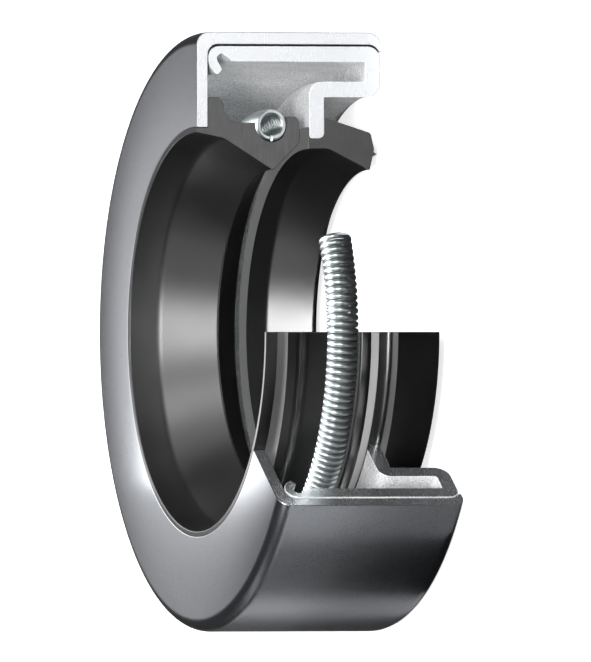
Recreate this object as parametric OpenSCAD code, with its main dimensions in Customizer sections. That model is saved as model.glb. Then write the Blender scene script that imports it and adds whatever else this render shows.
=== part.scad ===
// Radial shaft seal with a two-piece sheet metal case and two rubber lips, cut open to show its section.
// The axis of the shaft is Z, and the flange faces +Z. The origin is on that axis, at the main lip's edge.
// Each ring is a section turned about Z. A section is drawn by radius and by depth below the flange's face.

/* [Seal] */
// Outside diameter, pressed into the housing
seal_d = 62; // [61:0.5:65]
// Width from the flange's face to the rolled edge
seal_w = 20.4; // [20.2:0.1:21.2]
// Diameter of both lips' edges, before a shaft stretches them
lip_d = 33.6; // [33.2:0.1:34]

/* [Cut-away] */
// Angle of both cases that is left
metal_sweep = 235; // [200:5:300]
// Angle of both rubber lips that is left
rubber_sweep = 270; // [200:5:320]
// Angle of the spring that is left
spring_sweep = 297; // [240:1:330]

/* [Outer case] */
// Thickness of the outer case's sheet
case_t = 1.25; // [1.1:0.05:1.35]
// Diameter of the hole in the flange
flange_bore_d = 42.3; // [42.1:0.1:42.9]
// Outer radius of the bend between flange and wall
bend_out_r = 1.4; // [1.2:0.1:1.8]
// Inner radius of the same bend
bend_in_r = 1.1; // [0.9:0.1:1.2]
// Outer radius of the rolled edge
roll_out_r = 1.55; // [1.45:0.05:1.65]
// How far the rolled edge reaches in over the inner case's corner
roll_lap = 0.55; // [0.4:0.05:0.6]

/* [Inner case] */
// Thickness of the inner case's sheet
inner_t = 1.6; // [1.5:0.05:1.7]
// Gap between the walls of the two cases
case_gap = 0.2; // [0.1:0.05:0.3]
// How far the inner case's end lies below the rolled edge
end_step = 0.2; // [0.15:0.05:0.3]
// Outer diameter of the short sleeve that the sheet turns back into
sleeve_d = 51.8; // [51:0.2:52.6]
// Depth of the leg's face that looks towards the main lip
leg_depth = 12.45; // [12.1:0.05:12.9]
// Diameter of the hole in the leg
leg_bore_d = 40.1; // [39.9:0.1:40.5]
// Outer radius of the bend between wall and end
end_bend_r = 1.3; // [1.1:0.1:1.4]
// Outer radius of the bend between end and sleeve
sleeve_bend_r = 1.5; // [1.2:0.05:1.5]
// Outer radius of the bend between sleeve and leg
leg_bend_r = 1.3; // [1.1:0.1:1.4]
// Fillet where the end meets the sleeve inside the fold
fold_fillet = 0.4; // [0.2:0.1:0.8]
// Rounding of the leg's edge
leg_round = 0.4; // [0.2:0.05:0.6]

/* [Hook] */
// Gap between the hook and the flange
hook_gap = 0.12; // [0.05:0.01:0.3]
// Thickness of the thinned sheet in the hook
hook_t = 0.78; // [0.65:0.01:0.85]
// Thickness that the notch leaves in the wall above the hook
crown_t = 0.7; // [0.6:0.02:0.85]
// Height from the wall's outside to the hook's tip
hook_h = 3; // [2.8:0.05:3.2]
// Height from the wall's outside to where the hook leans away from the flange
hook_straight_h = 2.05; // [2:0.05:2.2]
// Angle by which the hook's tip leans
hook_angle = 45; // [35:1:50]
// Outer radius of the hook's shoulder
hook_shoulder_r = 1.2; // [1.1:0.05:1.25]
// Outer radius of the hook's lean
hook_lean_r = 1.9; // [1.4:0.1:2]
// Rounding of the hook's tip
hook_tip_round = 0.25; // [0.1:0.05:0.35]
// Width of the notch at its crown
notch_w = 0.6; // [0.5:0.05:0.8]
// Length over which the wall thickens again beside the notch
thickening_l = 1.2; // [0.9:0.1:1.8]

/* [Main lip] */
// Depth of the main lip's edge
lip_depth = 8.37; // [8.2:0.01:8.6]
// Width of the flat on each lip's edge
lip_land = 0.2; // [0.1:0.05:0.4]
// Angle of the lip's face on the oil side
oil_angle = 31.5; // [30:0.5:32.5]
// Angle of the lip's face on the air side
air_angle = 43.5; // [42:0.5:45]
// Thickness of rubber inside the flange's hole
nose_t = 0.52; // [0.4:0.02:0.6]
// Rounding of the nose's edge
nose_round = 0.15; // [0.05:0.05:0.25]
// Depth of the bend between the nose and the oil face
neck_depth = 3.05; // [2.8:0.05:3.4]
// Rounding of that bend
neck_round = 2; // [1:0.5:3]
// Height of the bonded bead above the flange's hole
bead_h = 3.1; // [2.9:0.1:3.5]
// Width of the bead
bead_w = 1.75; // [1.6:0.05:1.9]
// Rounding of the bead's edge
bead_round = 0.85; // [0.6:0.05:0.9]
// Fillet between the bead and the neck
bead_fillet = 1.5; // [1.2:0.1:1.5]
// Depth of the lip head's far face
head_depth = 11.42; // [11.3:0.02:11.6]
// Rounding between the far face and the air face
head_round = 1.2; // [0.6:0.1:1.4]
// How far the far face leans in towards the spring at the ridge
ridge_lean = 0.15; // [0:0.05:0.3]
// Rounding of the ridge behind the spring
ridge_round = 0.68; // [0.4:0.04:0.72]
// Height of the ridge above the spring's centre
ridge_h = 0.88; // [0.8:0.02:1]

/* [Garter spring] */
// Outer diameter of the coil
coil_d = 3.36; // [3.2:0.02:3.42]
// Diameter of the wire
wire_d = 0.62; // [0.54:0.02:0.66]
// How far the step to the next turn is drawn to the coil's inner side: 0 is an even coil
inner_step = 0.85; // [0:0.05:1]
// Space between two turns at the ring's middle
turn_gap = 0.06; // [0.05:0.01:0.2]
// Height of the coil's centre above the lip's edge
spring_h = 4.6; // [4.5:0.05:4.8]
// How far the coil's centre lies from the lip's edge towards the flange
spring_shift = 0.13; // [0:0.01:0.2]
// Clearance between the coil and its groove
groove_clearance = 0.05; // [0.03:0.01:0.15]
// How far the neck's surface stands above the coil's centre
neck_h = 0.25; // [0.1:0.05:0.4]

/* [Wiper lip] */
// Thickness of rubber inside the leg's hole
cover_t = 1.1; // [1:0.05:1.3]
// Thickness of the skin on the leg's face
skin_t = 0.12; // [0.1:0.01:0.2]
// Height of the skin above the leg's edge
skin_h = 1.15; // [0.8:0.05:1.5]
// Length of the straight hole before the wiper's cone
hole_l = 2.1; // [1.8:0.1:2.4]
// Rounding between the hole and the cone
hole_round = 0.8; // [0.2:0.1:1.2]
// Length of the wiper from the leg to its edge
wiper_l = 5.05; // [4.8:0.05:5.1]
// Share of the leg, from its edge to the sleeve, that the rubber covers on the wiper's side
back_share = 0.48; // [0.44:0.01:0.52]
// Fillet between the wiper's back and the leg
back_fillet = 0.4; // [0.2:0.05:0.5]
// Height of the wiper's end above its edge
end_h = 3.8; // [3.6:0.05:4]
// Rounding between the back and the end
end_round = 0.45; // [0.2:0.05:0.6]
// Height of the end's crest above the wiper's edge
crest_h = 2.1; // [2:0.05:2.2]
// Slope of the end on both sides of its crest
end_slope = 13.3; // [11:0.1:14]
// Height of the trimmed flash above the wiper's edge
flash_h = 1.6; // [1.4:0.1:1.8]
// How far the flash stands out
flash_l = 0.42; // [0.2:0.02:0.46]
// Width of the flash at its foot
flash_w = 0.45; // [0.3:0.05:0.6]

/* [Hidden] */
$fn = 96;
TURN_FN = 180;
ARC_STEPS = 6;
POINTS_PER_TURN = 8;
WIRE_SIDES = 4;
PAST = 1;

case_r = seal_d / 2;
case_in_r = case_r - case_t;
flange_bore_r = flange_bore_d / 2;
roll_depth = seal_w - roll_out_r;

inner_r = case_in_r - case_gap;
inner_in_r = inner_r - inner_t;
end_depth = seal_w - end_step;
sleeve_r = sleeve_d / 2;
sleeve_in_r = sleeve_r - inner_t;
leg_bore_r = leg_bore_d / 2;
leg_back = leg_depth + inner_t;
back_h = back_share * (sleeve_in_r - leg_bore_r);

hook_depth = case_t + hook_gap;
crown_depth = hook_depth + hook_t + notch_w;
thick_depth = crown_depth + thickening_l;
wall_depth = thick_depth + 1;

lip_r = lip_d / 2;
ring_r = lip_r + spring_h;
ring_depth = lip_depth - spring_shift;
groove_r = coil_d / 2 + groove_clearance;
neck_r = ring_r + neck_h;
ridge_r = ring_r + ridge_h;
land_half = lip_land / 2;

coil_r = (coil_d - wire_d) / 2;
turn_angle = (wire_d + turn_gap) / ring_r * 180 / PI;
ring_count = floor(spring_sweep / turn_angle * POINTS_PER_TURN) + 1;

// Point of a section at a radius and a depth
function at(r, depth) = [r, lip_depth - depth];

// Radius of the main lip's oil face at a depth
function oil_face_r(depth) = lip_r + (lip_depth - land_half - depth) * tan(oil_angle);

// Radius of the main lip's air face at a depth
function air_face_r(depth) = lip_r + (depth - lip_depth - land_half) * tan(air_angle);

// Arc that rounds corner b between a and c, each written as radius, depth and rounding
function corner_arc(a, b, c) =
    let (
        p = [b[0], b[1]],
        u = ([a[0], a[1]] - p) / norm([a[0], a[1]] - p),
        v = ([c[0], c[1]] - p) / norm([c[0], c[1]] - p),
        half = acos(u * v) / 2,
        centre = p + (u + v) / norm(u + v) * b[2] / sin(half),
        first = p + u * b[2] / tan(half) - centre,
        last = p + v * b[2] / tan(half) - centre,
        start = atan2(first[1], first[0]),
        swing = atan2(last[1], last[0]) - start,
        turn = swing > 180 ? swing - 360 : swing < -180 ? swing + 360 : swing
    )
    [for (k = [0:ARC_STEPS])
        at(centre[0] + b[2] * cos(start + turn * k / ARC_STEPS),
           centre[1] + b[2] * sin(start + turn * k / ARC_STEPS))];

// Outline of a section from corners written as radius, depth and rounding
module outline(corners) {
    n = len(corners);
    polygon([
        for (i = [0:n - 1])
            for (p = corners[i][2] == 0
                ? [at(corners[i][0], corners[i][1])]
                : corner_arc(corners[(i + n - 1) % n], corners[i], corners[(i + 1) % n]))
                p
    ]);
}

// Rectangle between two radii and two depths
module band(r1, r2, d1, d2) {
    translate(at(r1, d2)) square([r2 - r1, d2 - d1]);
}

// Disc about a point of the section
module disc(r, depth, radius) {
    translate(at(r, depth)) circle(r = radius);
}

// Quarter of a disc: out is 1 for its outer side or -1 for its inner side, down is 1 for its deeper side
module quarter(r, depth, radius, out, down) {
    reach = 2 * radius;
    intersection() {
        disc(r, depth, radius);
        band(r + min(0, out * reach), r + max(0, out * reach),
             depth + min(0, down * reach), depth + max(0, down * reach));
    }
}

// Fillet in a corner that opens outwards and, where down is -1, towards the flange
module fillet(r, depth, radius, down) {
    difference() {
        band(r, r + radius, depth + min(0, down * radius), depth + max(0, down * radius));
        disc(r + radius, depth + down * radius, radius);
    }
}

// Ring made by turning a section about the axis, from the upright cut face
module turned(sweep) {
    rotate_extrude(angle = sweep, $fn = TURN_FN) children();
}

// Cup from the flange's hole out to a radius, with a rounded corner at its top
module cup_section(r, top, bottom, corner_r) {
    band(flange_bore_r, r - corner_r, top, top + corner_r);
    quarter(r - corner_r, top + corner_r, corner_r, 1, -1);
    band(flange_bore_r, r, top + corner_r, bottom);
}

// Flange and wall, whose edge is rolled in over the inner case's corner with the same radius as that corner
module outer_case_section() {
    fold_r = case_in_r - end_bend_r;
    fold_depth = end_depth - end_bend_r;
    difference() {
        union() {
            cup_section(case_r, 0, roll_depth, bend_out_r);
            intersection() {
                disc(case_r - roll_out_r, roll_depth, roll_out_r);
                band(inner_r - roll_lap, case_r + PAST, roll_depth, seal_w + PAST);
            }
        }
        cup_section(case_in_r, case_t, fold_depth, bend_in_r);
        quarter(fold_r, fold_depth, end_bend_r, 1, 1);
        band(flange_bore_r, fold_r, fold_depth, seal_w + PAST);
    }
}

// Thinned end of the inner case's wall, curled in towards the axis behind the flange
module hook_section() {
    tip_r = inner_r - hook_h;
    straight_r = inner_r - hook_straight_h;
    tip_depth = hook_depth + (straight_r - tip_r) * tan(hook_angle);
    outline([
        [inner_r, wall_depth, 0],
        [inner_r, hook_depth, hook_shoulder_r],
        [straight_r, hook_depth, hook_lean_r],
        [tip_r, tip_depth, hook_tip_round],
        [tip_r + hook_t * sin(hook_angle), tip_depth + hook_t * cos(hook_angle), hook_tip_round],
        [inner_r - hook_shoulder_r, hook_depth + hook_t, hook_t / 2],
        [inner_r - crown_t, crown_depth, notch_w / 2],
        [inner_in_r, thick_depth, thickening_l / 2],
        [inner_in_r, wall_depth, 0],
    ]);
}

// Leg of the inner case, whose edge is rounded inside the rubber
module leg_section() {
    band(leg_bore_r + leg_round, sleeve_in_r, leg_depth, leg_back);
    band(leg_bore_r, leg_bore_r + leg_round, leg_depth + leg_round, leg_back - leg_round);
    quarter(leg_bore_r + leg_round, leg_depth + leg_round, leg_round, -1, -1);
    quarter(leg_bore_r + leg_round, leg_back - leg_round, leg_round, -1, 1);
}

module inner_case_section() {
    fold_depth = end_depth - inner_t;
    hook_section();
    band(inner_in_r, inner_r, wall_depth, end_depth - end_bend_r);
    band(inner_in_r, inner_r - end_bend_r, end_depth - end_bend_r, end_depth);
    quarter(inner_r - end_bend_r, end_depth - end_bend_r, end_bend_r, 1, 1);
    band(sleeve_r, inner_in_r, fold_depth, end_depth);
    fillet(sleeve_r, fold_depth, fold_fillet, -1);
    band(sleeve_in_r + sleeve_bend_r, sleeve_r, end_depth - sleeve_bend_r, end_depth);
    quarter(sleeve_in_r + sleeve_bend_r, end_depth - sleeve_bend_r, sleeve_bend_r, -1, 1);
    band(sleeve_in_r, sleeve_r, leg_depth + leg_bend_r, end_depth - sleeve_bend_r);
    band(sleeve_in_r, sleeve_r - leg_bend_r, leg_depth, leg_depth + leg_bend_r);
    quarter(sleeve_r - leg_bend_r, leg_depth + leg_bend_r, leg_bend_r, 1, -1);
    leg_section();
}

// Bead on the flange, nose in its hole, neck and wedge-shaped head, with half the groove for the spring
module main_lip_section() {
    bead_r = flange_bore_r + bead_h;
    bead_depth = case_t + bead_w;
    difference() {
        outline([
            [flange_bore_r, case_t, 0],
            [flange_bore_r, 0, 0],
            [flange_bore_r - nose_t, 0, nose_round],
            [oil_face_r(neck_depth), neck_depth, neck_round],
            [lip_r, lip_depth - land_half, 0],
            [lip_r, lip_depth + land_half, 0],
            [air_face_r(head_depth), head_depth, head_round],
            [ridge_r, head_depth - ridge_lean, ridge_round],
            [ridge_r, ring_depth + groove_r, 0],
            [ring_r, ring_depth + groove_r, 0],
            [ring_r, ring_depth - groove_r, 0],
            [neck_r, ring_depth - groove_r, 0],
            [neck_r, bead_depth, bead_fillet],
            [bead_r, bead_depth, bead_round],
            [bead_r, case_t, 0],
        ]);
        disc(ring_r, ring_depth, groove_r);
    }
}

// Rubber round the leg's edge and the lip that it carries, with trimmed flash on its end
module wiper_lip_section() {
    hole_r = leg_bore_r - cover_t;
    leg_middle = leg_depth + inner_t / 2;
    edge_depth = leg_back + wiper_l;
    back_r = leg_bore_r + back_h;
    function end_face(h) = edge_depth + (crest_h - abs(h - crest_h)) * tan(end_slope);
    difference() {
        outline([
            [leg_bore_r + skin_h, leg_middle, 0],
            [leg_bore_r + skin_h, leg_depth - skin_t, skin_t / 2],
            [hole_r, leg_depth - skin_t, skin_t / 2],
            [hole_r, leg_depth + hole_l, hole_round],
            [lip_r, edge_depth - lip_land, 0],
            [lip_r, edge_depth, 0],
            [lip_r + flash_h - flash_w / 2, end_face(flash_h - flash_w / 2), 0],
            [lip_r + flash_h, end_face(flash_h) + flash_l, 0],
            [lip_r + flash_h + flash_w / 2, end_face(flash_h + flash_w / 2), 0],
            [lip_r + end_h, end_face(end_h), end_round],
            [back_r, leg_back + back_fillet, back_fillet],
            [back_r + back_fillet, leg_middle, 0],
        ]);
        leg_section();
    }
}

// Corner of the wire: ring i along the coil, corner k about the wire
function wire_corner(i, k) =
    let (
        turns = i / POINTS_PER_TURN,
        around_coil = 180 + 360 * turns,
        around_ring = (turns - inner_step * sin(around_coil) / (2 * PI)) * turn_angle,
        around_wire = 360 * k / WIRE_SIDES,
        reach = coil_r + wire_d / 2 * cos(around_wire),
        r = ring_r + reach * cos(around_coil),
        side = wire_d / 2 * sin(around_wire)
    )
    [
        r * cos(around_ring) - side * sin(around_ring),
        r * sin(around_ring) + side * cos(around_ring),
        lip_depth - ring_depth + reach * sin(around_coil),
    ];

module outer_case() {
    color("gainsboro") turned(metal_sweep) outer_case_section();
}

module inner_case() {
    color("whitesmoke") turned(metal_sweep) inner_case_section();
}

module main_lip() {
    color("dimgray") turned(rubber_sweep) main_lip_section();
}

module wiper_lip() {
    color("darkslategray") turned(rubber_sweep) wiper_lip_section();
}

// Closely wound coil, bent into a ring in the groove
module garter_spring() {
    n = WIRE_SIDES;
    color("lightsteelblue") polyhedron(
        points = [for (i = [0:ring_count - 1], k = [0:n - 1]) wire_corner(i, k)],
        faces = concat(
            [for (i = [0:ring_count - 2], k = [0:n - 1])
                [i * n + k, i * n + (k + 1) % n, (i + 1) * n + k]],
            [for (i = [0:ring_count - 2], k = [0:n - 1])
                [i * n + (k + 1) % n, (i + 1) * n + (k + 1) % n, (i + 1) * n + k]],
            [[for (k = [n - 1:-1:0]) k]],
            [[for (k = [0:n - 1]) (ring_count - 1) * n + k]]
        )
    );
}

outer_case();
inner_case();
main_lip();
wiper_lip();
garter_spring();
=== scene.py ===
# %% [markdown]
# # A radial shaft seal, cut open
# A radial shaft seal keeps oil in where a shaft leaves a housing. Two pressed sheet metal cups carry two
# rubber lips, and a garter spring pulls the main lip onto the shaft. A sector is cut out of every ring, so
# the section can be seen. The solids are loaded first, as the frame that every finished piece has to fit.

# %% Load the solids
import math
import bmesh
import bpy
from mathutils import Matrix, Vector


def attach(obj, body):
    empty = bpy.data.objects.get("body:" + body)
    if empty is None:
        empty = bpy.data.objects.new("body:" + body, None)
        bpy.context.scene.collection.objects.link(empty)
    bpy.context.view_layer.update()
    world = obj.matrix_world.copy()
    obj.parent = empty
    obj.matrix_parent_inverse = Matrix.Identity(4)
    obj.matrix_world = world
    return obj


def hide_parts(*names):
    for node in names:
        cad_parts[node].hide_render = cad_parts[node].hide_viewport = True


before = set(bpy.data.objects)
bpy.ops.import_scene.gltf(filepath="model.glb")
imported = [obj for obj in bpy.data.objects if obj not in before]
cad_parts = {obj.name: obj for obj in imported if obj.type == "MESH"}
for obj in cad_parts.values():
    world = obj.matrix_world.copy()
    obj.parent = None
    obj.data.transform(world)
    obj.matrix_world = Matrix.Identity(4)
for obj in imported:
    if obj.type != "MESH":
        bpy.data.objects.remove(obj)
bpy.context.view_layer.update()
MM = 0.001

# %% [markdown]
# ## Rings are sections turned about the axis
# Each metal cup is spun or pressed, and each rubber lip is moulded in a turned mould, so a ring is one flat
# section carried round the shaft's axis. A section could be drawn by hand, vertex by vertex. It is written
# here as corners with a radius for each bend, the way a seal's drawing gives them. A corner has its distance
# from the axis, its depth below the flange's face and its rounding, all in millimetres.

# %% Corners and bends
LIP_DEPTH = 8.37
BEND_STEP = math.radians(7.5)
SAME_POINT = 0.002


def points_of_arc(centre, radius, angles):
    """Points of an arc at a list of angles."""
    return [Vector(centre) + radius * Vector((math.cos(a), math.sin(a))) for a in angles]


def bend(before, corner, after):
    """Points of the arc that rounds a corner between its two neighbours."""
    p = Vector(corner[:2])
    u = (Vector(before[:2]) - p).normalized()
    v = (Vector(after[:2]) - p).normalized()
    half = math.acos(max(-1.0, min(1.0, u.dot(v)))) / 2
    centre = p + (u + v).normalized() * (corner[2] / math.sin(half))
    first = p + u * (corner[2] / math.tan(half)) - centre
    last = p + v * (corner[2] / math.tan(half)) - centre
    start = math.atan2(first.y, first.x)
    swing = (math.atan2(last.y, last.x) - start + math.pi) % (2 * math.pi) - math.pi
    steps = max(2, math.ceil(abs(swing) / BEND_STEP))
    return points_of_arc(centre, corner[2], [start + swing * k / steps for k in range(steps + 1)])


def arc(centre, radius, start, stop):
    """Points of an arc. Angles are in degrees, 0 is away from the axis and 90 is deeper."""
    steps = max(2, math.ceil(abs(math.radians(stop - start)) / BEND_STEP))
    angles = [math.radians(start + (stop - start) * k / steps) for k in range(steps + 1)]
    return points_of_arc(centre, radius, angles)


def section(corners):
    """Closed outline from corners and ready-made points, without doubled points."""
    points = []
    for i, c in enumerate(corners):
        if isinstance(c, Vector):
            points.append(c)
        elif c[2] == 0:
            points.append(Vector(c[:2]))
        else:
            points += bend(corners[i - 1], c, corners[(i + 1) % len(corners)])
    return [p for i, p in enumerate(points) if (p - points[i - 1]).length > SAME_POINT]


print("corners are rounded in steps of", round(math.degrees(BEND_STEP), 1), "degrees")

# %% [markdown]
# ## Supports beside the bends
# A smooth shaded mesh shares one normal between the faces that meet at a vertex. A long flat side beside a
# tight bend would then look bulged. A weighted normal modifier could mend that. Two extra points just inside
# each long side do it in the mesh itself, and they leave the outline as it is.

# %% Support points and the rim of the cut
SUPPORT = 0.07
LONG_SIDE = 0.55
LONGEST_STRETCH = 2.5
CUT_RIM = 0.05
SHARPEST_COSINE = 0.5


def supported(points):
    """The outline with an extra point close to both ends of each long side."""
    result = []
    for i, p in enumerate(points):
        q = points[(i + 1) % len(points)]
        result.append(p)
        length = (q - p).length
        if length > LONG_SIDE:
            pieces = max(1, round(length / LONGEST_STRETCH))
            stops = [SUPPORT / length] + [k / pieces for k in range(1, pieces)] + [1 - SUPPORT / length]
            result += [p.lerp(q, s) for s in stops]
    return result


def shrunk(points, amount):
    """The outline moved in by an amount, corner by corner."""
    area = sum(p.x * q.y - q.x * p.y for p, q in zip(points, points[1:] + points[:1]))
    side = 1 if area > 0 else -1
    result = []
    for i, p in enumerate(points):
        a = (p - points[i - 1]).normalized()
        b = (points[(i + 1) % len(points)] - p).normalized()
        na, nb = Vector((-a.y, a.x)) * side, Vector((-b.y, b.x)) * side
        both = (na + nb).normalized()
        result.append(p + both * (amount / max(SHARPEST_COSINE, both.dot(na))))
    return result


print("the rim of each cut is broken by", CUT_RIM, "mm")

# %% [markdown]
# ## The five outlines
# The outer case is one sheet: a flange, a wall, and a free edge rolled in over the inner case. The inner case
# starts as a thinned hook behind the flange, runs down as a wall, turns back into a short sleeve and ends as
# a leg inside the wiper's rubber. The main lip has a bonded bead, a nose in the flange's hole, a neck, and a
# wedge-shaped head with the spring's groove. The wiper lip wraps the leg and ends in a trimmed edge.

# %% Outline of the outer case
CASE_RADIUS = 31
CASE_SHEET = 1.25
FLANGE_BORE_RADIUS = 21.15
SEAL_WIDTH = 20.4
outer_case_section = section([
    (FLANGE_BORE_RADIUS, CASE_SHEET, 0.12), (FLANGE_BORE_RADIUS, 0, 0.12), (CASE_RADIUS, 0, 1.4),
    (CASE_RADIUS, SEAL_WIDTH, 1.55), *arc((29.45, 18.85), 1.55, 90, 106.9), *arc((28.45, 18.9), 1.3, 65, 0),
    (CASE_RADIUS - CASE_SHEET, CASE_SHEET, 1.1),
])
print("outer case:", len(outer_case_section), "points")

# %% Outline of the inner case
WALL_OUTSIDE, WALL_INSIDE = 29.55, 27.95
SLEEVE_OUTSIDE, SLEEVE_INSIDE = 25.9, 24.3
LEG_BORE_RADIUS = 20.05
LEG_FRONT, LEG_BACK = 12.45, 14.05
END_FRONT, END_BACK = 18.6, 20.2
inner_case_section = section([
    (WALL_OUTSIDE, 1.37, 1.2), (27.5, 1.37, 1.9), (26.55, 2.32, 0.25), (27.1016, 2.8716, 0.25),
    (28.35, 2.15, 0.39), (28.85, 2.75, 0.3), (WALL_INSIDE, 3.95, 0.6), (WALL_INSIDE, END_FRONT, 0.1),
    (SLEEVE_OUTSIDE, END_FRONT, 0.4), (SLEEVE_OUTSIDE, LEG_FRONT, 1.3), (LEG_BORE_RADIUS, LEG_FRONT, 0.3),
    (LEG_BORE_RADIUS, LEG_BACK, 0.6), (SLEEVE_INSIDE, LEG_BACK, 0.1), (SLEEVE_INSIDE, END_BACK, 1.5),
    (WALL_OUTSIDE, END_BACK, 1.3),
])
print("inner case:", len(inner_case_section), "points")

# %% Outline of the main lip
LIP_RADIUS = 16.8
RING_RADIUS = 21.4
NECK_RADIUS = 21.65
BEAD_RADIUS = 24.25
RIDGE_RADIUS = 22.28
main_lip_section = section([
    (FLANGE_BORE_RADIUS, CASE_SHEET, 0), (FLANGE_BORE_RADIUS, 0, 0), (20.63, 0, 0.15), (19.999, 3.05, 2),
    (LIP_RADIUS, 8.27, 0), (LIP_RADIUS, 8.47, 0), (19.5995, 11.42, 1.2), (RIDGE_RADIUS, 11.27, 0.68),
    (RIDGE_RADIUS, 9.97, 0.25), *arc((RING_RADIUS, 8.24), 1.73, 90, 270), (NECK_RADIUS, 6.51, 0),
    (NECK_RADIUS, 3, 1.5), (BEAD_RADIUS, 3, 0.85), (BEAD_RADIUS, CASE_SHEET, 0),
])
print("main lip:", len(main_lip_section), "points")

# %% Outline of the wiper lip
WIPER_EDGE = 19.1
END_RISE = math.tan(math.radians(13.3))
CREST = 2.1
FLASH_LENGTH = 0.42
SKIN = 12.33
WIPER_BORE_RADIUS = 18.95


def end_face(height):
    """Depth of the wiper's end at a height above its edge."""
    return WIPER_EDGE + (CREST - abs(height - CREST)) * END_RISE


wiper_lip_section = section([
    (21.2, LEG_FRONT, 0), (21.2, SKIN, 0), (WIPER_BORE_RADIUS, SKIN, 0), (WIPER_BORE_RADIUS, 14.55, 0.8),
    (LIP_RADIUS, 18.9, 0), (LIP_RADIUS, WIPER_EDGE, 0), (18.175, end_face(1.375), 0),
    (18.4, end_face(1.6) + FLASH_LENGTH, 0), (18.625, end_face(1.825), 0), (18.9, end_face(CREST), 0.1),
    (20.6, end_face(3.8), 0.45), (22.09, 14.45, 0), (22.223, LEG_BACK, 0), (LEG_BORE_RADIUS, LEG_BACK, 0.6),
    (LEG_BORE_RADIUS, LEG_FRONT, 0.3),
])
print("wiper lip:", len(wiper_lip_section), "points")

# %% [markdown]
# ## A node tree that turns a section
# The four rings follow the same rule, so one Geometry Nodes tree makes them all. It lays a grid with one
# column for each point of the outline and one row for each step round the axis, and sends each vertex to its
# place. A screw modifier would leave the ends open, and a spin in mesh code would hide the rule from the
# reader.

# %% Helpers for node trees
def add(tree, kind, links=None, **settings):
    """A node with its settings, values and links."""
    node = tree.nodes.new(kind)
    for name, value in settings.items():
        setattr(node, name, value)
    for key, value in (links or {}).items():
        if isinstance(value, bpy.types.NodeSocket):
            tree.links.new(value, node.inputs[key])
        else:
            node.inputs[key].default_value = value
    return node


def maths(tree, operation, a, b=None, clamp=False):
    """Result of a Math node."""
    links = {0: a} if b is None else {0: a, 1: b}
    return add(tree, "ShaderNodeMath", links, operation=operation, use_clamp=clamp).outputs[0]


def new_tree(name, inputs):
    """A geometry node tree with named inputs. Returns the tree, its input sockets and its output node."""
    tree = bpy.data.node_groups.new(name, "GeometryNodeTree")
    tree.interface.new_socket("Geometry", in_out="INPUT", socket_type="NodeSocketGeometry")
    for label, kind in inputs:
        tree.interface.new_socket(label, in_out="INPUT", socket_type="NodeSocket" + kind)
    tree.interface.new_socket("Geometry", in_out="OUTPUT", socket_type="NodeSocketGeometry")
    group_in = tree.nodes.new("NodeGroupInput")
    group_out = tree.nodes.new("NodeGroupOutput")
    return tree, group_in.outputs, group_out


# %% The ring tree and its grid
ring_tree, ring_in, ring_out = new_tree("turned_ring", [
    ("Sweep", "Float"), ("Rim Angle", "Float"), ("Steps", "Int"), ("Side Material", "Material"),
    ("Cut Material", "Material")])
t = ring_tree
points_of = add(t, "GeometryNodeAttributeDomainSize", {"Geometry": ring_in["Geometry"]}).outputs["Point Count"]
rows = maths(t, "ADD", ring_in["Steps"], 3.0)
grid = add(t, "GeometryNodeMeshGrid", {"Vertices X": points_of, "Vertices Y": rows}).outputs["Mesh"]
index = add(t, "GeometryNodeInputIndex").outputs[0]
column = maths(t, "FLOOR", maths(t, "DIVIDE", maths(t, "ADD", index, 0.5), rows))
row = maths(t, "SUBTRACT", index, maths(t, "MULTIPLY", column, rows))
print("grid of the ring tree:", len(t.nodes), "nodes")

# %% [markdown]
# ### Where each row stands
# The rows between the rims share the sweep evenly. The first and last rows use a slightly smaller outline and
# stand a small angle further out, which breaks the rim of the cut as a file does.

# %% Angles of the rows
A_LITTLE = 0.0001
share = maths(t, "DIVIDE", maths(t, "SUBTRACT", row, 1.0), ring_in["Steps"])
before_first = maths(t, "LESS_THAN", share, -A_LITTLE)
after_last = maths(t, "GREATER_THAN", share, 1 + A_LITTLE)
inner_sweep = maths(t, "SUBTRACT", ring_in["Sweep"], maths(t, "MULTIPLY", ring_in["Rim Angle"], 2.0))
along = maths(t, "MULTIPLY", maths(t, "ADD", share, 0.0, clamp=True), inner_sweep)
shift = maths(t, "MULTIPLY", maths(t, "SUBTRACT", after_last, before_first), ring_in["Rim Angle"])
angle = maths(t, "ADD", maths(t, "ADD", along, shift), ring_in["Rim Angle"])
print("with the angles:", len(t.nodes), "nodes")

# %% Points of the outline for each column
position = add(t, "GeometryNodeInputPosition").outputs[0]


def stored(tree, name, data_type):
    """Value of a named attribute."""
    return add(tree, "GeometryNodeInputNamedAttribute", {"Name": name}, data_type=data_type).outputs["Attribute"]


def sampled(value, data_type):
    """Value of the outline at the grid's column."""
    return add(ring_tree, "GeometryNodeSampleIndex",
               {"Geometry": ring_in["Geometry"], "Value": value, "Index": column},
               data_type=data_type, domain="POINT").outputs["Value"]


inset = stored(t, "inset", "FLOAT_VECTOR")
run = stored(t, "run", "FLOAT")
is_end = maths(t, "ADD", before_first, after_last, clamp=True)
flat = add(t, "ShaderNodeMix", {
    0: is_end, 4: sampled(position, "FLOAT_VECTOR"), 5: sampled(inset, "FLOAT_VECTOR")},
    data_type="VECTOR").outputs[1]
print("with the outline's points:", len(t.nodes), "nodes")

# %% Turn the points and map the side
MEAN_RADIUS = 25


def mapped(tree, geometry, value):
    """The geometry with a value stored as its map."""
    return add(tree, "GeometryNodeStoreNamedAttribute", {"Geometry": geometry, "Name": "UVMap", "Value": value},
               data_type="FLOAT2", domain="CORNER").outputs[0]


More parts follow.
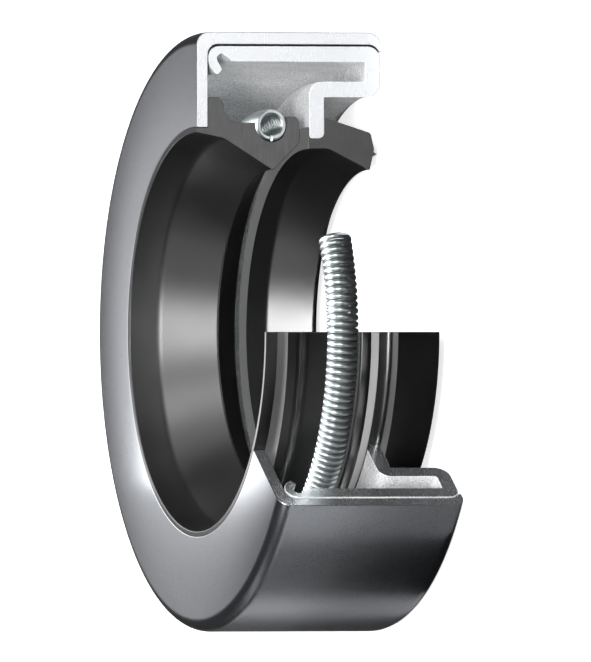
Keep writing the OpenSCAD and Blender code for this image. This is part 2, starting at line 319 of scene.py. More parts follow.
split = add(t, "ShaderNodeSeparateXYZ", {0: flat}).outputs
turned = add(t, "ShaderNodeCombineXYZ", {
    0: maths(t, "MULTIPLY", split[0], maths(t, "COSINE", angle)),
    1: maths(t, "MULTIPLY", split[0], maths(t, "SINE", angle)), 2: split[1]}).outputs[0]
map_at = add(t, "ShaderNodeCombineXYZ", {
    0: maths(t, "MULTIPLY", angle, MEAN_RADIUS * MM), 1: sampled(run, "FLOAT")}).outputs[0]
side = add(t, "GeometryNodeSetPosition", {"Geometry": mapped(t, grid, map_at), "Position": turned}).outputs[0]
print("with the side:", len(t.nodes), "nodes")

# %% [markdown]
# ### The two cut faces
# The turned side is an open tube. The shrunk outline is filled, and one copy stands at each end. The faces
# carry a mark, so that the last node gives them the finish of a cut.

# %% Caps of the ring tree
shrunk_line = add(t, "GeometryNodeSetPosition", {"Geometry": ring_in["Geometry"], "Position": inset}).outputs[0]
line = add(t, "GeometryNodeMeshToCurve", {0: shrunk_line}).outputs[0]
loop = add(t, "GeometryNodeSetSplineCyclic", {"Geometry": line, "Cyclic": True}).outputs[0]
filled = add(t, "GeometryNodeFillCurve", {"Curve": loop}, mode="NGONS").outputs[0]
marked = add(t, "GeometryNodeStoreNamedAttribute", {
    "Geometry": mapped(t, filled, position), "Name": "cut_face", "Value": True},
    data_type="BOOLEAN", domain="FACE").outputs[0]
QUARTER_TURN = math.pi / 2
start_cap = add(t, "GeometryNodeTransform", {"Geometry": marked, "Rotation": (QUARTER_TURN, 0, 0)}).outputs[0]
far_turn = add(t, "ShaderNodeCombineXYZ", {0: QUARTER_TURN, 2: ring_in["Sweep"]}).outputs[0]
far_cap = add(t, "GeometryNodeTransform", {"Geometry": marked, "Rotation": far_turn}).outputs[0]
far_cap = add(t, "GeometryNodeFlipFaces", {"Mesh": far_cap}).outputs[0]
print("with the caps:", len(t.nodes), "nodes")

# %% Join, weld and give materials
WELD_DISTANCE = 0.000002
joined = add(t, "GeometryNodeJoinGeometry")
for part in (far_cap, start_cap, side):
    t.links.new(part, joined.inputs[0])
welded = add(t, "GeometryNodeMergeByDistance", {
    "Geometry": joined.outputs[0], "Distance": WELD_DISTANCE}).outputs[0]
smooth = add(t, "GeometryNodeSetShadeSmooth", {"Geometry": welded, "Shade Smooth": True}).outputs[0]
real = add(t, "GeometryNodeRealizeInstances", {0: smooth}).outputs[0]
body_done = add(t, "GeometryNodeSetMaterial", {"Geometry": real, "Material": ring_in["Side Material"]}).outputs[0]
cut_done = add(t, "GeometryNodeSetMaterial", {
    "Geometry": body_done, "Selection": stored(t, "cut_face", "BOOLEAN"),
    "Material": ring_in["Cut Material"]}).outputs[0]
t.links.new(cut_done, ring_out.inputs[0])
print("ring tree:", len(t.nodes), "nodes")

# %% [markdown]
# ## Grain for the sheet metal
# Rolled and pressed sheet is not a mirror. It has a fine dull grain, faint streaks along the direction in
# which the cup was drawn over its punch, and slightly uneven tone. A picture texture would need a file, so
# noise at three scales makes it. Three metals use it, so it is one shader group that puts out a tone and a
# height. The flange is very slightly dished towards its rim, as a pressed sheet is, so the height falls there.

# %% Helpers for shader groups and materials
def new_group(name, inputs, outputs):
    """A shader node group with named float inputs and outputs. Returns the tree and its two end nodes."""
    tree = bpy.data.node_groups.new(name, "ShaderNodeTree")
    for label, value in inputs:
        tree.interface.new_socket(label, in_out="INPUT", socket_type="NodeSocketFloat").default_value = value
    for label in outputs:
        tree.interface.new_socket(label, in_out="OUTPUT", socket_type="NodeSocketFloat")
    return tree, tree.nodes.new("NodeGroupInput").outputs, tree.nodes.new("NodeGroupOutput").inputs


def in_millimetres(tree, source, stretch=(1, 1, 1)):
    """Coordinates of a surface in millimetres, from its object or from its map."""
    node = add(tree, "ShaderNodeTexCoord")
    scale = tuple(1000 * s for s in stretch)
    return add(tree, "ShaderNodeVectorMath", {0: node.outputs[source], 1: scale}, operation="MULTIPLY").outputs[0]


def noise(tree, vector, scale, detail=2.0, roughness=0.5):
    """Value of a noise texture."""
    return add(tree, "ShaderNodeTexNoise", {
        "Vector": vector, "Scale": scale, "Detail": detail, "Roughness": roughness}).outputs[0]


def spread(tree, value, low, high, new_low=0.0, new_high=1.0):
    """Value carried from one range to another."""
    return add(tree, "ShaderNodeMapRange", {0: value, 1: low, 2: high, 3: new_low, 4: new_high}).outputs[0]


# %% Sheet grain group
sheet_grain, grain_in, grain_out = new_group(
    "sheet_grain", [("Grain", 5.0), ("Streaks", 0.5), ("Dish", 0.0)], ["Tone", "Height"])
fine = noise(sheet_grain, in_millimetres(sheet_grain, "Object"), grain_in["Grain"], 3.0, 0.6)
drawn = noise(sheet_grain, in_millimetres(sheet_grain, "UV", (0.12, 3, 1)), 1.0, 3.0, 0.6)
patches = noise(sheet_grain, in_millimetres(sheet_grain, "Object"), 0.16, 2.0)
streaked = maths(sheet_grain, "MULTIPLY", maths(sheet_grain, "SUBTRACT", drawn, 0.5), grain_in["Streaks"])
centred = maths(sheet_grain, "ADD", maths(sheet_grain, "SUBTRACT", fine, 0.5), streaked)
toned = maths(sheet_grain, "ADD", centred, maths(sheet_grain, "MULTIPLY", patches, 0.2))
sheet_grain.links.new(maths(sheet_grain, "ADD", toned, 0.4, clamp=True), grain_out["Tone"])
flat_place = in_millimetres(sheet_grain, "Object", (1, 1, 0))
axis_distance = add(sheet_grain, "ShaderNodeVectorMath", {0: flat_place}, operation="LENGTH").outputs["Value"]
from_bore = maths(sheet_grain, "SUBTRACT", axis_distance, FLANGE_BORE_RADIUS)
past_bore = maths(sheet_grain, "MAXIMUM", from_bore, 0.0)
fall = maths(sheet_grain, "MULTIPLY", maths(sheet_grain, "MULTIPLY", past_bore, past_bore), grain_in["Dish"])
sheet_grain.links.new(maths(sheet_grain, "SUBTRACT", centred, fall), grain_out["Height"])
print("sheet grain:", len(sheet_grain.nodes), "nodes")

# %% [markdown]
# ## Marks on the cut faces
# A sector is sawn out and the faces are ground flat, which leaves them brighter than the sheet around them,
# with fine straight lines. The lines could be grooves in the mesh, but real ones are far too shallow for that.
# Noise that is stretched along the section's map makes them, as a tone and a tiny bump.

# %% Cut marks group
cut_marks, marks_in, marks_out = new_group("cut_marks", [("Lines", 6.0)], ["Tone", "Height"])
lined = noise(cut_marks, in_millimetres(cut_marks, "UV", (0.08, 1, 1)), marks_in["Lines"], 2.0, 0.6)
cloudy = noise(cut_marks, in_millimetres(cut_marks, "Object"), 0.5, 2.0)
cut_marks.links.new(maths(cut_marks, "ADD", maths(cut_marks, "MULTIPLY", lined, 0.6),
                          maths(cut_marks, "MULTIPLY", cloudy, 0.4)), marks_out["Tone"])
cut_marks.links.new(lined, marks_out["Height"])
print("cut marks:", len(cut_marks.nodes), "nodes")

# %% [markdown]
# ## Skin of moulded rubber
# Rubber takes the mould's surface: nearly smooth, with a fine matt grain and faint turning lines from the
# mould's own lathe work. Both are noise, as in the metal, on the surface and along its map. The rubber is
# black all through. Its cut faces use the cut marks instead, a little paler and much duller, because a cut
# roughens rubber.

# %% Moulded skin group
moulded_skin, skin_in, skin_out = new_group("moulded_skin", [("Grain", 8.0)], ["Tone", "Height"])
pores = noise(moulded_skin, in_millimetres(moulded_skin, "Object"), skin_in["Grain"], 2.0, 0.6)
turning = noise(moulded_skin, in_millimetres(moulded_skin, "UV", (0.02, 5, 1)), 1.0, 1.0)
bloom = noise(moulded_skin, in_millimetres(moulded_skin, "Object"), 0.2, 2.0)
moulded_skin.links.new(maths(moulded_skin, "ADD", maths(moulded_skin, "MULTIPLY", bloom, 0.7),
                             maths(moulded_skin, "MULTIPLY", pores, 0.3)), skin_out["Tone"])
moulded_skin.links.new(maths(moulded_skin, "ADD", maths(moulded_skin, "MULTIPLY", pores, 0.5),
                             maths(moulded_skin, "MULTIPLY", turning, 0.5)), skin_out["Height"])
print("moulded skin:", len(moulded_skin.nodes), "nodes")

# %% [markdown]
# ## One way to make a finish
# Every finish here is a pattern group that drives the colour, the roughness and a very small bump of one
# Principled shader. Numbers that are the same all over, such as the metallic value, sit on the shader itself.

# %% Function for a finish
TONE_RANGE = (0.3, 0.7)


def finish(name, group, settings, dark, light, rough, bump, **shader):
    """A material whose tone runs from dark to light, with a roughness range and a bump in micrometres."""
    material = bpy.data.materials.new(name)
    material.use_nodes = True
    tree = material.node_tree
    principled = tree.nodes["Principled BSDF"]
    pattern = add(tree, "ShaderNodeGroup", node_tree=group)
    for label, value in settings.items():
        pattern.inputs[label].default_value = value
    tone = pattern.outputs["Tone"]
    mix = add(tree, "ShaderNodeMix", {
        0: spread(tree, tone, *TONE_RANGE), 6: (*dark, 1), 7: (*light, 1)}, data_type="RGBA")
    tree.links.new(mix.outputs[2], principled.inputs["Base Color"])
    tree.links.new(spread(tree, tone, *TONE_RANGE, *rough), principled.inputs["Roughness"])
    relief = add(tree, "ShaderNodeBump", {
        "Strength": 1.0, "Distance": bump * 1e-6, "Height": pattern.outputs["Height"]})
    tree.links.new(relief.outputs[0], principled.inputs["Normal"])
    for label, value in shader.items():
        principled.inputs[label.replace("_", " ")].default_value = value
    print("finish:", name)
    return material


# %% Finishes of the metal
outer_sheet = finish("outer_sheet", sheet_grain, {"Grain": 6.0, "Streaks": 0.12, "Dish": 1.4},
                     (0.27, 0.28, 0.3), (0.34, 0.352, 0.378), (0.27, 0.32), 5, Metallic=1.0)
inner_sheet = finish("inner_sheet", sheet_grain, {"Grain": 6.0, "Streaks": 0.3},
                     (0.42, 0.43, 0.45), (1.0, 1.0, 1.0), (0.36, 0.44), 28, Metallic=0.3)
cut_sheet = finish("cut_sheet", cut_marks, {"Lines": 7.0},
                   (0.73, 0.745, 0.77), (0.77, 0.785, 0.81), (0.26, 0.28), 0.08, Metallic=0.95)
wire_steel = finish("wire_steel", sheet_grain, {"Grain": 9.0, "Streaks": 0.0},
                    (0.52, 0.56, 0.565), (0.62, 0.66, 0.665), (0.31, 0.36), 0.8, Metallic=1.0)

# %% Finishes of the rubber
BLACK = ((0.001, 0.001, 0.001), (0.003, 0.003, 0.003), (0.33, 0.39), 2)
CUT_RUBBER_ROUGH = (0.7, 0.85)
lip_rubber = finish("lip_rubber", moulded_skin, {"Grain": 8.0}, *BLACK, Specular_IOR_Level=0.55)
wiper_rubber = finish("wiper_rubber", moulded_skin, {"Grain": 8.0}, *BLACK, Specular_IOR_Level=0.85)
cut_lip = finish("cut_lip", cut_marks, {"Lines": 5.0}, (0.04, 0.04, 0.04), (0.065, 0.065, 0.065),
                 CUT_RUBBER_ROUGH, 4, Specular_IOR_Level=0.2)
cut_wiper = finish("cut_wiper", cut_marks, {"Lines": 5.0}, (0.025, 0.025, 0.025), (0.04, 0.04, 0.04),
                   CUT_RUBBER_ROUGH, 4, Specular_IOR_Level=0.2)

# %% [markdown]
# ## Turn the four rings
# Each section becomes a chain of vertices that carries two values: where the vertex goes on the shrunk end
# outline, and how far along the outline it lies. The ring tree turns it, and the result is read back as a
# plain mesh, so that nothing is left to work out later. Edges sharper than thirty degrees stay crisp.

# %% Function that reads a tree's result back
SHARP_EDGE = math.radians(30)


def plain_mesh(name, source, tree, values):
    """Runs a node tree on a mesh and returns the result as an object of its own."""
    carrier = bpy.data.objects.new(name + "_line", source)
    bpy.context.scene.collection.objects.link(carrier)
    modifier = carrier.modifiers.new("shape", "NODES")
    modifier.node_group = tree
    for item in tree.interface.items_tree:
        if item.item_type == "SOCKET" and item.in_out == "INPUT" and item.name in values:
            modifier[item.identifier] = values[item.name]
    graph = bpy.context.evaluated_depsgraph_get()
    mesh = bpy.data.meshes.new_from_object(carrier.evaluated_get(graph), preserve_all_data_layers=True,
                                           depsgraph=graph)
    carrier.modifiers.clear()
    bpy.data.objects.remove(carrier)
    shell = bmesh.new()
    shell.from_mesh(mesh)
    bmesh.ops.remove_doubles(shell, verts=shell.verts, dist=WELD_DISTANCE / 2)
    bmesh.ops.recalc_face_normals(shell, faces=shell.faces)
    for edge in shell.edges:
        edge.smooth = len(edge.link_faces) == 2 and edge.calc_face_angle(0) < SHARP_EDGE
    open_edges = sum(1 for edge in shell.edges if len(edge.link_faces) != 2)
    volume = shell.calc_volume() * 1e9
    shell.to_mesh(mesh)
    shell.free()
    mesh.name = name
    piece = bpy.data.objects.new(name, mesh)
    bpy.context.scene.collection.objects.link(piece)
    print(name, len(mesh.polygons), "faces,", open_edges, "open edges,", round(volume, 1), "mm3")
    return piece


# %% Function for a ring
ROW_DEGREES = 1.25


def in_tree_plane(points):
    """Places of outline points in metres, as the ring tree reads them."""
    return [(p.x * MM, (LIP_DEPTH - p.y) * MM, 0) for p in points]


def ring(name, outline, sweep, side_material, cut_material):
    """Ring made by turning an outline from the upright cut face."""
    points = supported(outline)
    inner = shrunk(points, CUT_RIM)
    points.append(points[0])
    inner.append(inner[0])
    mesh = bpy.data.meshes.new(name + "_line")
    mesh.from_pydata(in_tree_plane(points), [(i, i + 1) for i in range(len(points) - 1)], [])
    insets = [v for place in in_tree_plane(inner) for v in place]
    mesh.attributes.new("inset", "FLOAT_VECTOR", "POINT").data.foreach_set("vector", insets)
    runs = [0.0]
    for p, q in zip(points, points[1:]):
        runs.append(runs[-1] + (q - p).length * MM)
    mesh.attributes.new("run", "FLOAT", "POINT").data.foreach_set("value", runs)
    return plain_mesh(name, mesh, ring_tree, {
        "Sweep": math.radians(sweep), "Rim Angle": CUT_RIM / MEAN_RADIUS, "Steps": round(sweep / ROW_DEGREES),
        "Side Material": side_material, "Cut Material": cut_material})


# %% The rings
METAL_SWEEP = 235.0
RUBBER_SWEEP = 270.0
rings = {
    "outer_case": ring("seal_outer_case", outer_case_section, METAL_SWEEP, outer_sheet, cut_sheet),
    "inner_case": ring("seal_inner_case", inner_case_section, METAL_SWEEP, inner_sheet, cut_sheet),
    "main_lip": ring("seal_main_lip", main_lip_section, RUBBER_SWEEP, lip_rubber, cut_lip),
    "wiper_lip": ring("seal_wiper_lip", wiper_lip_section, RUBBER_SWEEP, wiper_rubber, cut_wiper),
}

# %% [markdown]
# ## Wind the garter spring
# A garter spring is one wire wound closely into a coil, whose ends are joined to make a ring. Each vertex of a
# long chain finds its turn from its number, which gives the angle round the coil and the angle round the
# ring. Copies of one turn would need joints between them, and one chain needs none. The tree then sweeps the
# wire's circle along the chain. The step to the next turn is made on the inner side, so the turns look
# straight from outside.

# %% The spring tree: the wire's path
spring_tree, spring_in, spring_out = new_tree("wound_spring", [
    ("Sweep", "Float"), ("Turn Angle", "Float"), ("Ring Radius", "Float"), ("Ring Height", "Float"),
    ("Coil Radius", "Float"), ("Wire Radius", "Float"), ("Inner Step", "Float"), ("Points Per Turn", "Int"),
    ("Wire Sides", "Int"), ("Material", "Material")])
t = spring_tree
all_turns = maths(t, "DIVIDE", spring_in["Sweep"], spring_in["Turn Angle"])
count = maths(t, "FLOOR", maths(t, "ADD", maths(t, "MULTIPLY", all_turns, spring_in["Points Per Turn"]), 1.0))
chain = add(t, "GeometryNodeMeshLine", {"Count": count}).outputs[0]
turns = maths(t, "DIVIDE", add(t, "GeometryNodeInputIndex").outputs[0], spring_in["Points Per Turn"])
around_coil = maths(t, "MULTIPLY", maths(t, "ADD", turns, 0.5), 2 * math.pi)
swung = maths(t, "MULTIPLY", spring_in["Inner Step"], maths(t, "SINE", around_coil))
step = maths(t, "DIVIDE", swung, 2 * math.pi)
around_ring = maths(t, "MULTIPLY", maths(t, "SUBTRACT", turns, step), spring_in["Turn Angle"])
out_by = maths(t, "MULTIPLY", spring_in["Coil Radius"], maths(t, "COSINE", around_coil))
far = maths(t, "ADD", spring_in["Ring Radius"], out_by)
up_by = maths(t, "MULTIPLY", spring_in["Coil Radius"], maths(t, "SINE", around_coil))
place = add(t, "ShaderNodeCombineXYZ", {
    0: maths(t, "MULTIPLY", far, maths(t, "COSINE", around_ring)),
    1: maths(t, "MULTIPLY", far, maths(t, "SINE", around_ring)),
    2: maths(t, "ADD", spring_in["Ring Height"], up_by)}).outputs[0]
placed = add(t, "GeometryNodeSetPosition", {"Geometry": chain, "Position": place}).outputs[0]
print("path of the wire:", len(t.nodes), "nodes")

# %% The spring tree: the wire itself
path = add(t, "GeometryNodeMeshToCurve", {0: placed}).outputs[0]
wire_circle = add(t, "GeometryNodeCurvePrimitiveCircle", {
    "Resolution": spring_in["Wire Sides"], "Radius": spring_in["Wire Radius"]}, mode="RADIUS").outputs[0]
wire = add(t, "GeometryNodeCurveToMesh", {
    "Curve": path, "Profile Curve": wire_circle, "Fill Caps": True}).outputs[0]
wire = add(t, "GeometryNodeSetShadeSmooth", {"Geometry": wire, "Shade Smooth": True}).outputs[0]
wire = add(t, "GeometryNodeRealizeInstances", {0: wire}).outputs[0]
wire = add(t, "GeometryNodeSetMaterial", {"Geometry": wire, "Material": spring_in["Material"]}).outputs[0]
t.links.new(wire, spring_out.inputs[0])
print("spring tree:", len(t.nodes), "nodes")

# %% The spring
SPRING_SWEEP = 297
WIRE_DIAMETER = 0.62
TURN_GAP = 0.06
COIL_RADIUS = 1.37
RING_HEIGHT = 0.13
spring = plain_mesh("seal_garter_spring", bpy.data.meshes.new("spring_line"), spring_tree, {
    "Sweep": math.radians(SPRING_SWEEP), "Turn Angle": (WIRE_DIAMETER + TURN_GAP) / RING_RADIUS,
    "Ring Radius": RING_RADIUS * MM, "Ring Height": RING_HEIGHT * MM, "Coil Radius": COIL_RADIUS * MM,
    "Wire Radius": WIRE_DIAMETER / 2 * MM, "Inner Step": 0.85, "Points Per Turn": 32, "Wire Sides": 14,
    "Material": wire_steel})

# %% [markdown]
# ## Put the finished pieces in the solids' place
# Each finished piece stands for the solid of its name and rides on the one body.

# %% Replace the solids
pieces = {**rings, "garter_spring": spring}
for node, piece in pieces.items():
    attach(piece, "root")
    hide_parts(node)
print("pieces:", sorted(pieces))

# %% [markdown]
# ## Floor
# The seal lies on its rolled edge on a pale floor. More lamps could make the floor white, but they would wash
# out the seal. So the floor adds a glow of its own that the camera alone sees. It reads as white paper and
# still shows a soft shadow.

# %% The floor
FLOOR_HEIGHT = -12.03 * MM
FLOOR_REACH = 4
corners = [(x * FLOOR_REACH, y * FLOOR_REACH, FLOOR_HEIGHT) for x, y in ((-1, -1), (1, -1), (1, 1), (-1, 1))]
floor_mesh = bpy.data.meshes.new("floor")
floor_mesh.from_pydata(corners, [], [(0, 1, 2, 3)])
floor = bpy.data.objects.new("floor", floor_mesh)
bpy.context.scene.collection.objects.link(floor)
print("floor at", round(FLOOR_HEIGHT / MM, 2), "mm")

# %% The floor's paper
FLOOR_GLOW = 0.78
paper = bpy.data.materials.new("floor_paper")
paper.use_nodes = True
p = paper.node_tree
p.nodes.remove(p.nodes["Principled BSDF"])
white = add(p, "ShaderNodeBsdfDiffuse", {"Color": (0.8, 0.8, 0.8, 1)}).outputs[0]
ray = add(p, "ShaderNodeLightPath").outputs
strength = maths(p, "MULTIPLY", ray["Is Camera Ray"], FLOOR_GLOW)
glow = add(p, "ShaderNodeEmission", {"Strength": strength}).outputs[0]
both = add(p, "ShaderNodeAddShader", {0: white, 1: glow}).outputs[0]
p.links.new(both, p.nodes["Material Output"].inputs["Surface"])
floor_mesh.materials.append(paper)
print("the floor glows with", FLOOR_GLOW, "for the camera")

# %% [markdown]
# ## Camera
# The photo shows hardly any perspective. An orthographic camera would have none. This one stands far away
# with a very long lens instead, turned by 20 degrees off the section's plane. It lies on its side, so that the
# shaft's axis runs across the picture. Where the axis lies in the photo, in pixels, places the target.

# %% The camera
TURN = math.radians(20)
PIXEL = 0.103454 * MM
PICTURE_HEIGHT = 662
PICTURE_CENTRE = (295.5, 331)
AXIS_AT = (272.53, 331.9)
LENS = 1400
SENSOR = 36
to_camera = Vector((0, -math.cos(TURN), math.sin(TURN)))
picture_up = Vector((1, 0, 0))
picture_right = picture_up.cross(to_camera)
target = (picture_right * (PICTURE_CENTRE[0] - AXIS_AT[0]) * PIXEL
          + picture_up * (AXIS_AT[1] - PICTURE_CENTRE[1]) * PIXEL)
camera_data = bpy.data.cameras.new("camera")
camera_data.lens = LENS
camera_data.sensor_width = SENSOR
camera = bpy.data.objects.new("camera", camera_data)
bpy.context.scene.collection.objects.link(camera)
distance = PICTURE_HEIGHT * PIXEL * LENS / SENSOR
camera_data.clip_end = 100
camera.matrix_world = Matrix((picture_right, picture_up, to_camera)).transposed().to_4x4()
camera.location = target + to_camera * distance
bpy.context.scene.camera = camera
print("camera distance:", round(distance, 3), "m, picture right:", [round(v, 3) for v in picture_right])

# %% [markdown]
# ## Light
# The photo is a drawing lit from many sides at once, with bright cut faces and nearly black rubber. No one set
# of lamps gives both. So the large soft lamps stand round the seal as in a photographer's tent, and smaller
# ones are linked to the pieces that they have to reach. A lamp may also be shaded by named pieces alone, or
# by nothing, because the drawing shows almost no shadows inside the seal.

# %% Function for a lamp
def lamp(name, direction, distance, size, brightness, reaches=None, casts_shadow=True, shaded_by=None):
    """A soft lamp of a surface brightness, aimed at the seal from a direction."""
    data = bpy.data.lights.new(name, "AREA")
    data.shape = "RECTANGLE"
    data.size, data.size_y = size
    data.energy = brightness * math.pi * size[0] * size[1]
    data.use_shadow = casts_shadow
    data.cycles.use_multiple_importance_sampling = casts_shadow
    place = Vector(direction).normalized() * distance
    holder = bpy.data.objects.new(name, data)
    holder.location = place
    holder.rotation_mode = "QUATERNION"
    holder.rotation_quaternion = place.to_track_quat("Z", "Y")
    bpy.context.scene.collection.objects.link(holder)
    if reaches:
        holder.light_linking.receiver_collection = reaches
    if shaded_by:
        holder.light_linking.blocker_collection = shaded_by
    return holder


# %% Function for a group of pieces
def receivers(name, pieces, state):
    """A group of pieces that a lamp reaches alone, or leaves out."""
    group = bpy.data.collections.new(name)
    for piece in pieces:
        group.objects.link(piece)
    for entry in group.collection_objects:
        entry.light_linking.link_state = state
    return group


# %% Groups of pieces
main_lip, wiper_lip, inner_case = rings["main_lip"], rings["wiper_lip"], rings["inner_case"]
not_spring = receivers("all_but_the_spring", [spring], "EXCLUDE")
only_spring = receivers("only_the_spring", [spring], "INCLUDE")
only_main_lip = receivers("only_the_main_lip", [main_lip], "INCLUDE")
only_wiper_lip = receivers("only_the_wiper_lip", [wiper_lip], "INCLUDE")
only_cases = receivers("only_the_cases", [rings["outer_case"], inner_case], "INCLUDE")
only_inner_case = receivers("only_the_inner_case", [inner_case], "INCLUDE")
print("groups:", sorted(group.name for group in bpy.data.collections if "_the_" in group.name))

# %% [markdown]
# ### The lamps
# Each lamp has a direction from the seal, a distance and a size in metres, and the brightness of its surface.
# The front lamps give the bright cut faces. The flange mirrors what stands behind the seal, so small lamps
# there give its soft patches. Two more light the sides that the photo doesn't show.

# %% Lamps for the metal and the whole seal
FRONT = (-0.02, -0.8, 0.6)
BEHIND = (0, 0.94, 0.342)
lamp("front_top", FRONT, 0.6, (0.32, 0.16), 32, not_spring)
lamp("upper_right", (0.6, -0.51, 0.62), 0.6, (0.2, 0.2), 14, not_spring)
lamp("upper_edge", (0.85, -0.2, 0.5), 0.6, (0.2, 0.2), 3.5, not_spring)
lamp("lower_left", (-0.695, -0.411, 0.589), 0.6, (0.2, 0.2), 3, not_spring)
for name, aside, brightness in (
        ("flange_middle", 0, 1.9), ("flange_upper", 0.14, 0.95), ("flange_lower", -0.14, 1.2)):
    lamp(name, (aside, *BEHIND[1:]), 0.5, (0.07, 0.1), brightness, only_cases)
lamp("corner_side", (-0.85, 0.38, 0.3), 0.6, (0.2, 0.3), 0.5, only_cases, False)
lamp("back_right", (0.88, 0.45, 0.14), 0.6, (0.3, 0.24), 2.2, only_cases)
lamp("back", (0.1, 0.97, -0.12), 0.6, (0.5, 0.12), 1.2, only_cases)
lamp("case_band", (-0.62, 0.7, -0.342), 0.5, (0.2, 0.16), 0.8, only_inner_case, False)
print("lamps so far:", len(bpy.data.lights))

# %% Lamps for the spring
lamp("spring_top", (0, 0.3, 1), 0.5, (0.3, 0.36), 42, only_spring, True, only_spring)
lamp("spring_front", (0, -0.78, 0.62), 0.6, (0.34, 0.22), 9, only_spring, True, only_spring)
print("lamps so far:", len(bpy.data.lights))

# %% Lamps for the rubber
lamp("lip_sheen", BEHIND, 0.5, (0.3, 0.2), 0.8, only_main_lip, False)
lamp("wiper_sheen", BEHIND, 0.5, (0.3, 0.2), 1.0, only_wiper_lip, False)
lamp("lip_front", FRONT, 0.6, (0.32, 0.16), 4.5, only_main_lip, False)
lamp("wiper_front", FRONT, 0.6, (0.32, 0.16), 9, only_wiper_lip, False)
print("lamps so far:", len(bpy.data.lights))

# %% [markdown]
# ### A glint beside the lower cut
# The photo has one bright patch on the flange, close to the lower cut. A small lamp above the seal is turned to
# that spot. It gives a reflection only, and no light on dull faces.

# %% Glint beside the lower cut
GLINT_FROM = Vector((-15.3, -19.8, LIP_DEPTH)) * MM
flange_glint = lamp("flange_glint", (0, 0, 1), 0.05, (0.025, 0.025), 4.2, not_spring)
flange_glint.location = Vector((-5, 24, 25.5)) * MM
flange_glint.rotation_quaternion = (flange_glint.location - GLINT_FROM).to_track_quat("Z", "Y")
flange_glint.visible_diffuse = False
print("glint at", [round(v / MM, 1) for v in flange_glint.location], "mm")

# %% [markdown]
# ## Small mirror lamps
# A dull band on the rubber needs light only from the spot that it mirrors to the camera. Each small lamp is
# put on that line, close to the piece, and is left out of the picture itself.

# %% Function for a mirror lamp
def flat_direction(degrees):
    """Direction square to the axis, at an angle about it."""
    return Vector((math.cos(math.radians(degrees)), math.sin(math.radians(degrees)), 0))


def mirrored_view(outward):
    """Direction that a surface facing outward mirrors to the camera."""
    return 2 * outward.dot(to_camera) * outward - to_camera


def mirror_lamp(name, spot, outward, reach, size, brightness, reaches):
    """A small lamp where the camera sees it mirrored in one spot of a piece. All lengths are in millimetres."""
    mirrored = mirrored_view(outward)
    small = lamp(name, mirrored, reach * MM, (size[0] * MM, size[1] * MM), brightness, reaches, False)
    small.location = (Vector(spot) + reach * mirrored) * MM
    small.visible_camera = False


# %% Bands on the bead and the ridge
RIDGE_HEIGHT = Vector((0, 0, -1.5))
mirror_lamp("bead_glint", (0, 20.9, 6.9), Vector((0, -1, 0)), 20, (26, 5), 9, only_main_lip)
for degrees in (264, 252, 240, 228):
    outward = flat_direction(degrees)
    mirror_lamp("ridge_glint", 22.3 * outward + RIDGE_HEIGHT, outward, 3, (4, 1.2), 4, only_main_lip)
print("lamps in all:", len(bpy.data.lights))

# %% [markdown]
# ## Cards
# Photographers put black cards beside bright metal, so that it mirrors something dark. These do the same on
# the white floor. Only reflections see them, so the floor in the picture stays white. The floor that the
# case's outside mirrors is parted into a fan, which gives the dark and light bands along the case.

# %% Function for a card
def card(name, corners, grey):
    """A card that only reflections see. Its corners are in millimetres."""
    mesh = bpy.data.meshes.new(name)
    mesh.from_pydata([(x * MM, y * MM, z * MM) for x, y, z in corners], [], [(0, 1, 2, 3)])
    sheet = bpy.data.objects.new(name, mesh)
    bpy.context.scene.collection.objects.link(sheet)
    paint = bpy.data.materials.new(name)
    paint.use_nodes = True
    shader = paint.node_tree.nodes["Principled BSDF"]
    shader.inputs["Base Color"].default_value = (grey, grey, grey, 1)
    shader.inputs["Roughness"].default_value = 1
    shader.inputs["Specular IOR Level"].default_value = 0
    mesh.materials.append(paint)
    for ray_kind in ("camera", "diffuse", "shadow", "transmission", "volume_scatter"):
        setattr(sheet, "visible_" + ray_kind, False)


# %% Functions for the corners of a card
LOW_CARDS = FLOOR_HEIGHT / MM + 0.02
HIGH_CARDS = FLOOR_HEIGHT / MM + 0.04


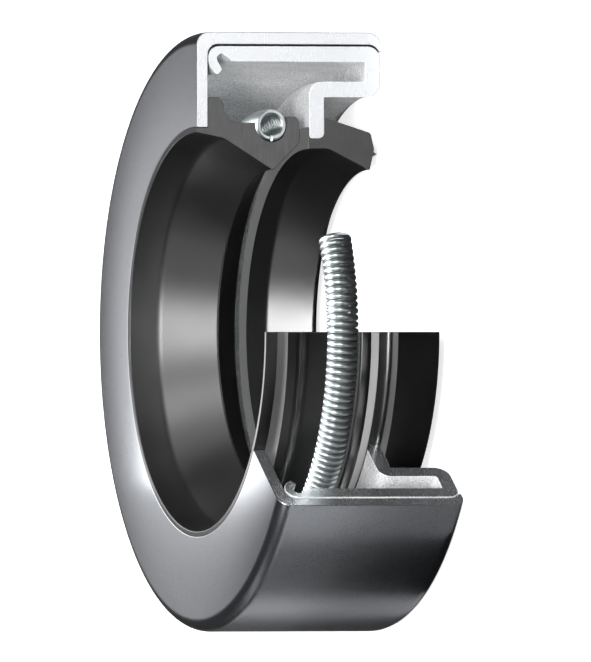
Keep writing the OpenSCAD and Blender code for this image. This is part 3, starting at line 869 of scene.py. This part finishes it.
def on_floor(x, y):
    """Corners of a rectangle just above the floor, between two values of x and of y."""
    z = LOW_CARDS
    return [(x[0], y[0], z), (x[1], y[0], z), (x[1], y[1], z), (x[0], y[1], z)]


def fan_on_floor(start, stop, near, far):
    """Corners of the floor that the case's outside mirrors to the camera, between two angles about the axis."""
    corners = []
    for degrees, reach in ((start, near), (start, far), (stop, far), (stop, near)):
        outward = flat_direction(degrees)
        place = CASE_RADIUS * outward + reach * mirrored_view(outward)
        corners.append((place.x, place.y, HIGH_CARDS))
    return corners


# %% The fan of cards beside the case
MIDDLE, OUTER = 38, 150
for name, start, stop, near_grey, far_grey in (
        ("card_a", 250, 227, 0.2, 0.65), ("card_b", 227, 208, 0.008, 0.2),
        ("card_c", 208, 199, 0.5, 0.8), ("card_d", 199, 170, 0.05, 0.1)):
    card(name + "_near", fan_on_floor(start, stop, 0, MIDDLE), near_grey)
    card(name + "_far", fan_on_floor(start, stop, MIDDLE, OUTER), far_grey)

# %% The other cards
FAR_AWAY = 3000
card("card_front", on_floor((-32, 14), (-200, -20)), 0.03)
card("card_under", on_floor((-32, 14), (-20, FAR_AWAY)), 0.03)
card("card_right", on_floor((14, FAR_AWAY), (0, FAR_AWAY)), 0.09)
card("card_left", on_floor((-FAR_AWAY, -32), (30, FAR_AWAY)), 0.05)
card("card_between", [(10, -26, -12), (10, -1, -12), (10, -1, 14), (10, -26, 14)], 0.06)
card("card_wall", [(11.5, -90, -12), (11.5, -26, -12), (11.5, -26, 8), (11.5, -90, 8)], 0.03)

# %% [markdown]
# ## World
# The world gives a faint even light. Seen by the camera it would be nearly black behind the floor's edge in a
# low view, so the camera alone gets it white, which meets the white floor at the horizon.

# %% World and view
WORLD_LIGHT = 0.055
world = bpy.data.worlds.new("studio")
world.use_nodes = True
w = world.node_tree
background = w.nodes["Background"]
background.inputs["Color"].default_value = (1, 1, 1, 1)
seen = add(w, "ShaderNodeLightPath").outputs["Is Camera Ray"]
w.links.new(maths(w, "MAXIMUM", seen, WORLD_LIGHT), background.inputs["Strength"])
bpy.context.scene.world = world
bpy.context.scene.view_settings.view_transform = "Standard"
print("view:", bpy.context.scene.view_settings.view_transform)
